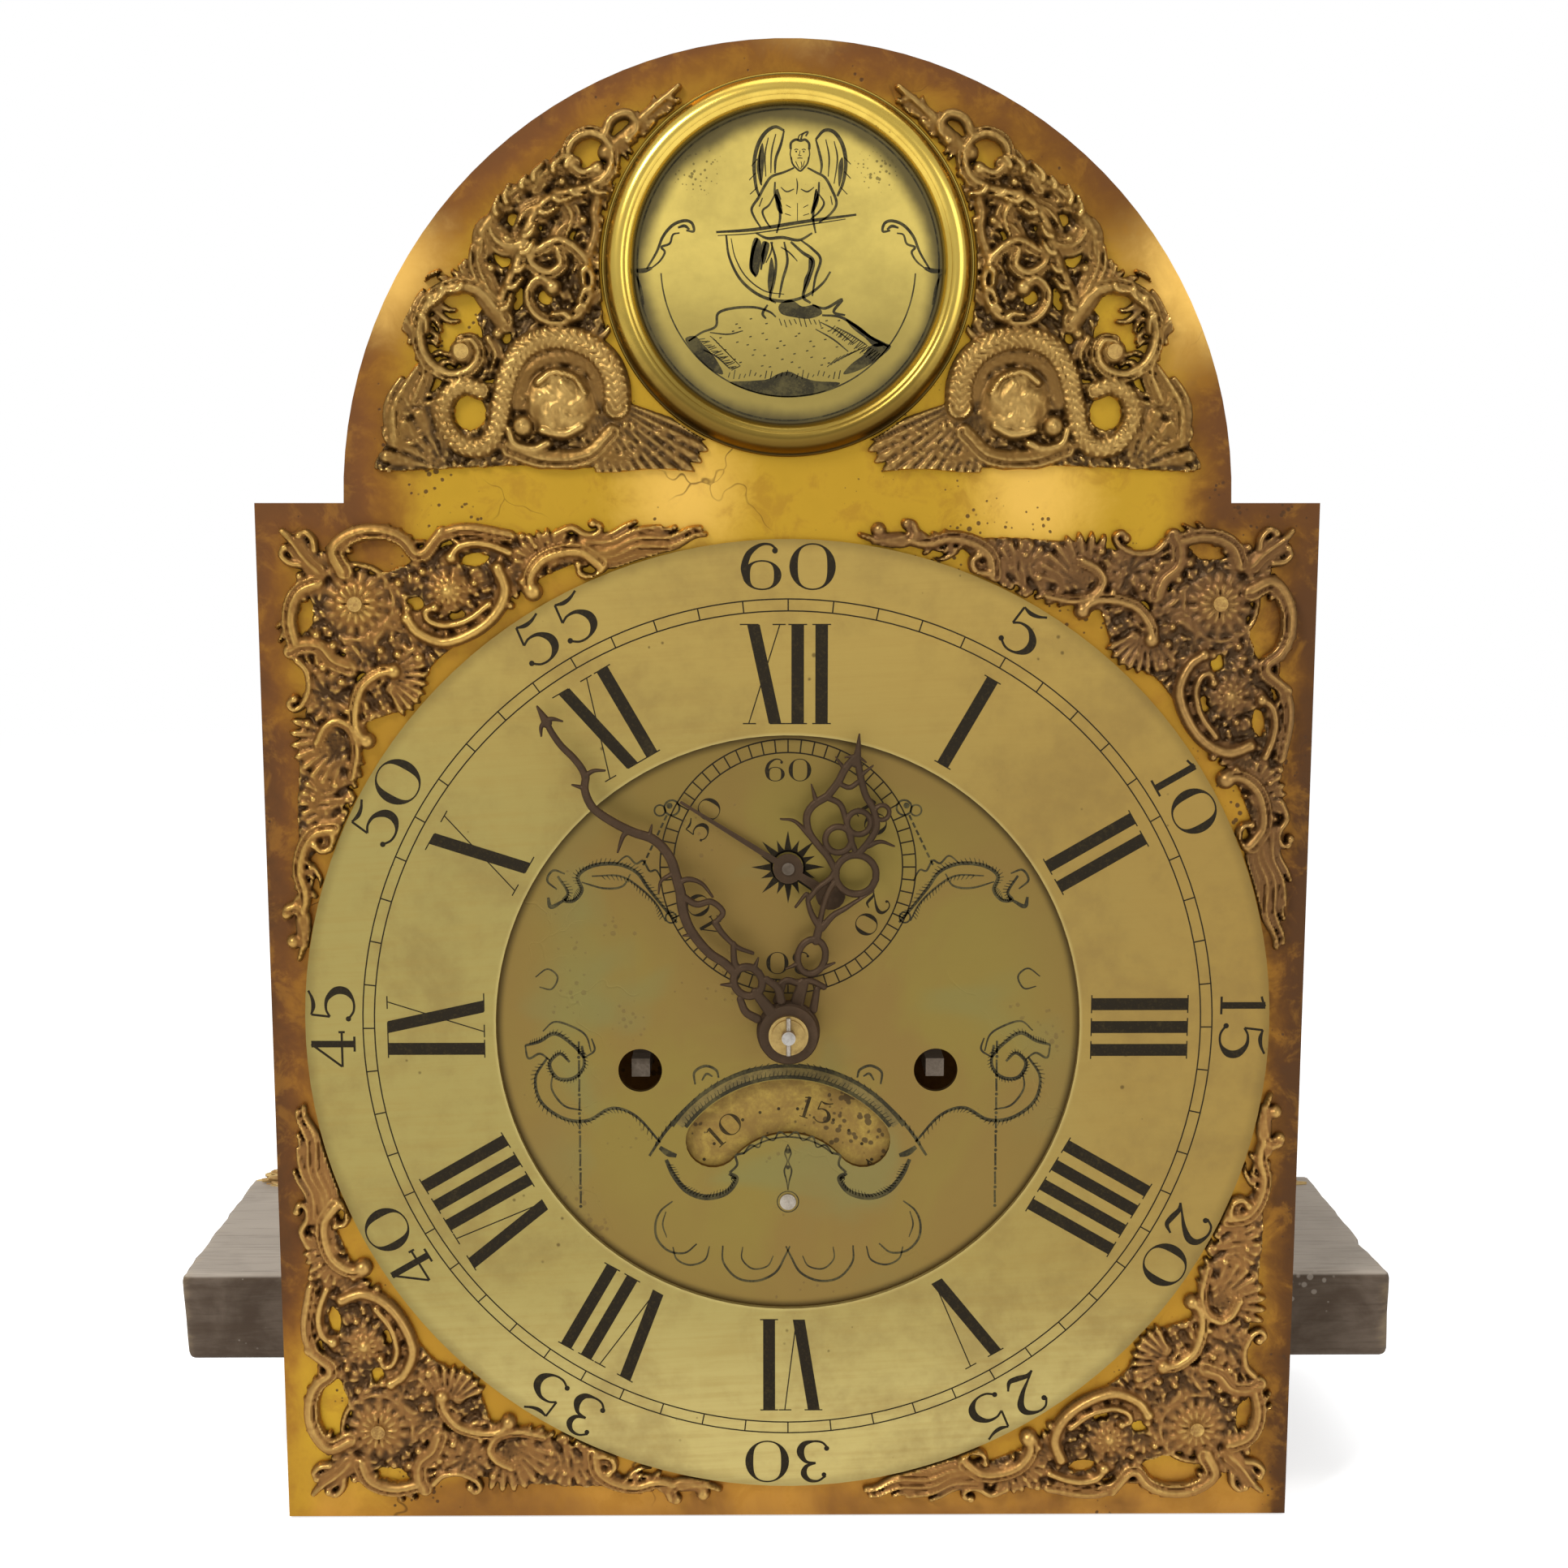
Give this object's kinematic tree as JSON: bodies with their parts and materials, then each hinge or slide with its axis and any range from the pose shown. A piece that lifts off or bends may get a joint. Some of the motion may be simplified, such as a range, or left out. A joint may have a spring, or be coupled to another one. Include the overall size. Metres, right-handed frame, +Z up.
{
  "type": "longcase clock dial and movement",
  "caption": "Arched brass dial with chapter ring, seconds hand, date opening and roundel in front of a weight-driven rack-striking movement with bell on a wooden seatboard.",
  "frame": {"origin": "middle of the seatboard's underside", "axes": "+X to the right as the dial is read, +Z up, the dial faces -Y"},
  "size_m": [0.38, 0.1713, 0.4319],
  "materials": {
    "brass": "dull turned brass",
    "gilt_brass": "old gilt brass with dark tarnish",
    "cast_brass": "dark cast brass with rubbed highlights",
    "silvered_brass": "worn silvering over brass",
    "date_brass": "scratched pale brass",
    "bell_metal": "dark bell metal",
    "steel": "filed steel",
    "blued_steel": "old blued steel gone brown",
    "oak": "old dark oak with worn pale edges"
  },
  "bodies": {
    "clock_frame": {"seatboard": "oak", "seatboard_bolts": "steel", "dial_plate": "gilt_brass", "dial_feet": "brass", "chapter_ring": "silvered_brass", "spandrel_top_left": "cast_brass", "spandrel_top_right": "cast_brass", "spandrel_bottom_left": "cast_brass", "spandrel_bottom_right": "cast_brass", "arch_spandrel_left": "cast_brass", "arch_spandrel_right": "cast_brass", "roundel_disc": "gilt_brass", "roundel_frame": "gilt_brass", "date_stud": "steel", "screws": "steel", "taper_pins": "steel", "front_plate": "brass", "back_plate": "brass", "plate_pillars": "brass", "front_studs": "steel", "hour_bridge": "brass", "back_cock": "brass", "bell_stand": "steel", "bell": "bell_metal", "hammer_spring": "steel"},
    "centre": {"centre_wheel": "brass", "centre_arbor": "steel", "cannon_wheel": "brass", "minute_hand": "blued_steel", "hand_collet": "gilt_brass", "hand_pin": "steel"},
    "going_great": {"going_great_wheel": "brass"},
    "going_winder": {"going_barrel": "brass", "going_arbor": "steel"},
    "going_click": {"going_click": "steel"},
    "third": {"third_wheel": "brass", "third_arbor": "steel"},
    "escape": {"escape_wheel": "brass", "escape_arbor": "steel", "seconds_hand": "blued_steel"},
    "pallet_arbor": {"pallets": "steel", "crutch": "steel"},
    "minute_wheel": {"minute_wheel": "brass"},
    "hour_wheel": {"hour_wheel": "brass", "hour_hand": "blued_steel"},
    "gathering": {"gathering_wheel": "brass", "gathering_arbor": "steel"},
    "strike_great": {"strike_great_wheel": "brass"},
    "strike_winder": {"strike_barrel": "brass", "strike_arbor": "steel"},
    "strike_click": {"strike_click": "steel"},
    "pin_wheel": {"pin_wheel": "brass", "pin_arbor": "steel"},
    "warning_wheel": {"warning_wheel": "brass"},
    "fly": {"fly": "brass"},
    "rack": {"rack": "steel"},
    "rack_hook": {"rack_hook": "steel"},
    "lifting_piece": {"lifting_piece": "steel"},
    "hammer": {"hammer": "steel"},
    "date_disc": {"date_disc": "date_brass"}
  },
  "joints": [
    {"name": "centre_spin", "type": "hinge", "parent": "clock_frame", "child": "centre", "pos_m": [0, -0.0474, 0.1125], "axis": [0, 1, 0], "continuous": true},
    {"name": "going_great_spin", "type": "hinge", "parent": "clock_frame", "child": "going_great", "pos_m": [0.0439, -0.0474, 0.0992], "axis": [0, 1, 0], "continuous": true},
    {"name": "third_spin", "type": "hinge", "parent": "clock_frame", "child": "third", "pos_m": [0.01105, -0.0474, 0.13735], "axis": [0, 1, 0], "continuous": true},
    {"name": "escape_spin", "type": "hinge", "parent": "clock_frame", "child": "escape", "pos_m": [0, -0.0474, 0.16], "axis": [0, 1, 0], "continuous": true},
    {"name": "minute_wheel_spin", "type": "hinge", "parent": "clock_frame", "child": "minute_wheel", "pos_m": [0.01851, -0.0474, 0.09044], "axis": [0, 1, 0], "continuous": true},
    {"name": "hour_spin", "type": "hinge", "parent": "clock_frame", "child": "hour_wheel", "pos_m": [0, -0.0474, 0.1125], "axis": [0, 1, 0], "continuous": true},
    {"name": "going_winding", "type": "hinge", "parent": "going_great", "child": "going_winder", "pos_m": [0.0439, -0.0474, 0.0992], "axis": [0, 1, 0], "continuous": true},
    {"name": "going_click_hinge", "type": "hinge", "parent": "going_great", "child": "going_click", "pos_m": [0.0439, -0.0474, 0.1278], "axis": [0, 1, 0], "range_deg": [-10, 0], "stiffness_Nm_per_rad": 0.004, "springref_deg": 17.19},
    {"name": "pallet_swing", "type": "hinge", "parent": "clock_frame", "child": "pallet_arbor", "pos_m": [0, -0.0474, 0.18263], "axis": [0, 1, 0], "range_deg": [-3, 3]},
    {"name": "gathering_spin", "type": "hinge", "parent": "clock_frame", "child": "gathering", "pos_m": [-0.02328, -0.0474, 0.16424], "axis": [0, 1, 0], "continuous": true},
    {"name": "pin_wheel_spin", "type": "hinge", "parent": "clock_frame", "child": "pin_wheel", "pos_m": [-0.0298, -0.0474, 0.1399], "axis": [0, 1, 0], "continuous": true},
    {"name": "strike_great_spin", "type": "hinge", "parent": "clock_frame", "child": "strike_great", "pos_m": [-0.0439, -0.0474, 0.0992], "axis": [0, 1, 0], "continuous": true},
    {"name": "warning_spin", "type": "hinge", "parent": "clock_frame", "child": "warning_wheel", "pos_m": [-0.03929, -0.0474, 0.17356], "axis": [0, 1, 0], "continuous": true},
    {"name": "fly_spin", "type": "hinge", "parent": "clock_frame", "child": "fly", "pos_m": [-0.04818, -0.0474, 0.16132], "axis": [0, 1, 0], "continuous": true},
    {"name": "strike_winding", "type": "hinge", "parent": "strike_great", "child": "strike_winder", "pos_m": [-0.0439, -0.0474, 0.0992], "axis": [0, 1, 0], "continuous": true},
    {"name": "strike_click_hinge", "type": "hinge", "parent": "strike_great", "child": "strike_click", "pos_m": [-0.0439, -0.0474, 0.1278], "axis": [0, 1, 0], "range_deg": [-10, 0], "stiffness_Nm_per_rad": 0.004, "springref_deg": 17.19},
    {"name": "rack_hinge", "type": "hinge", "parent": "clock_frame", "child": "rack", "pos_m": [-0.0308, -0.0474, 0.1191], "axis": [0, 1, 0], "range_deg": [-37.5, 0]},
    {"name": "lifting_hinge", "type": "hinge", "parent": "clock_frame", "child": "lifting_piece", "pos_m": [0.038, -0.0474, 0.1225], "axis": [0, 1, 0], "range_deg": [0, 4]},
    {"name": "rack_hook_hinge", "type": "hinge", "parent": "clock_frame", "child": "rack_hook", "pos_m": [0.03, -0.0474, 0.1565], "axis": [0, 1, 0], "range_deg": [0, 6.4]},
    {"name": "hammer_hinge", "type": "hinge", "parent": "clock_frame", "child": "hammer", "pos_m": [-0.057, -0.0474, 0.1475], "axis": [0, 1, 0], "range_deg": [-9, 0], "stiffness_Nm_per_rad": 0.05, "springref_deg": 6.88},
    {"name": "date_spin", "type": "hinge", "parent": "clock_frame", "child": "date_disc", "pos_m": [0, -0.0474, 0.0589], "axis": [0, 1, 0], "continuous": true}
  ],
  "couplings": [
    {"joint": "going_great_spin", "follows": "centre_spin", "ratio": -0.083333},
    {"joint": "third_spin", "follows": "centre_spin", "ratio": -7.5},
    {"joint": "escape_spin", "follows": "centre_spin", "ratio": 60},
    {"joint": "minute_wheel_spin", "follows": "centre_spin", "ratio": -1},
    {"joint": "hour_spin", "follows": "centre_spin", "ratio": 0.083333},
    {"joint": "pin_wheel_spin", "follows": "gathering_spin", "ratio": -0.125},
    {"joint": "strike_great_spin", "follows": "gathering_spin", "ratio": 0.012821},
    {"joint": "warning_spin", "follows": "gathering_spin", "ratio": -7.1429},
    {"joint": "fly_spin", "follows": "gathering_spin", "ratio": 48.98},
    {"joint": "rack_hook_hinge", "follows": "lifting_hinge", "ratio": 1.6}
  ]
}
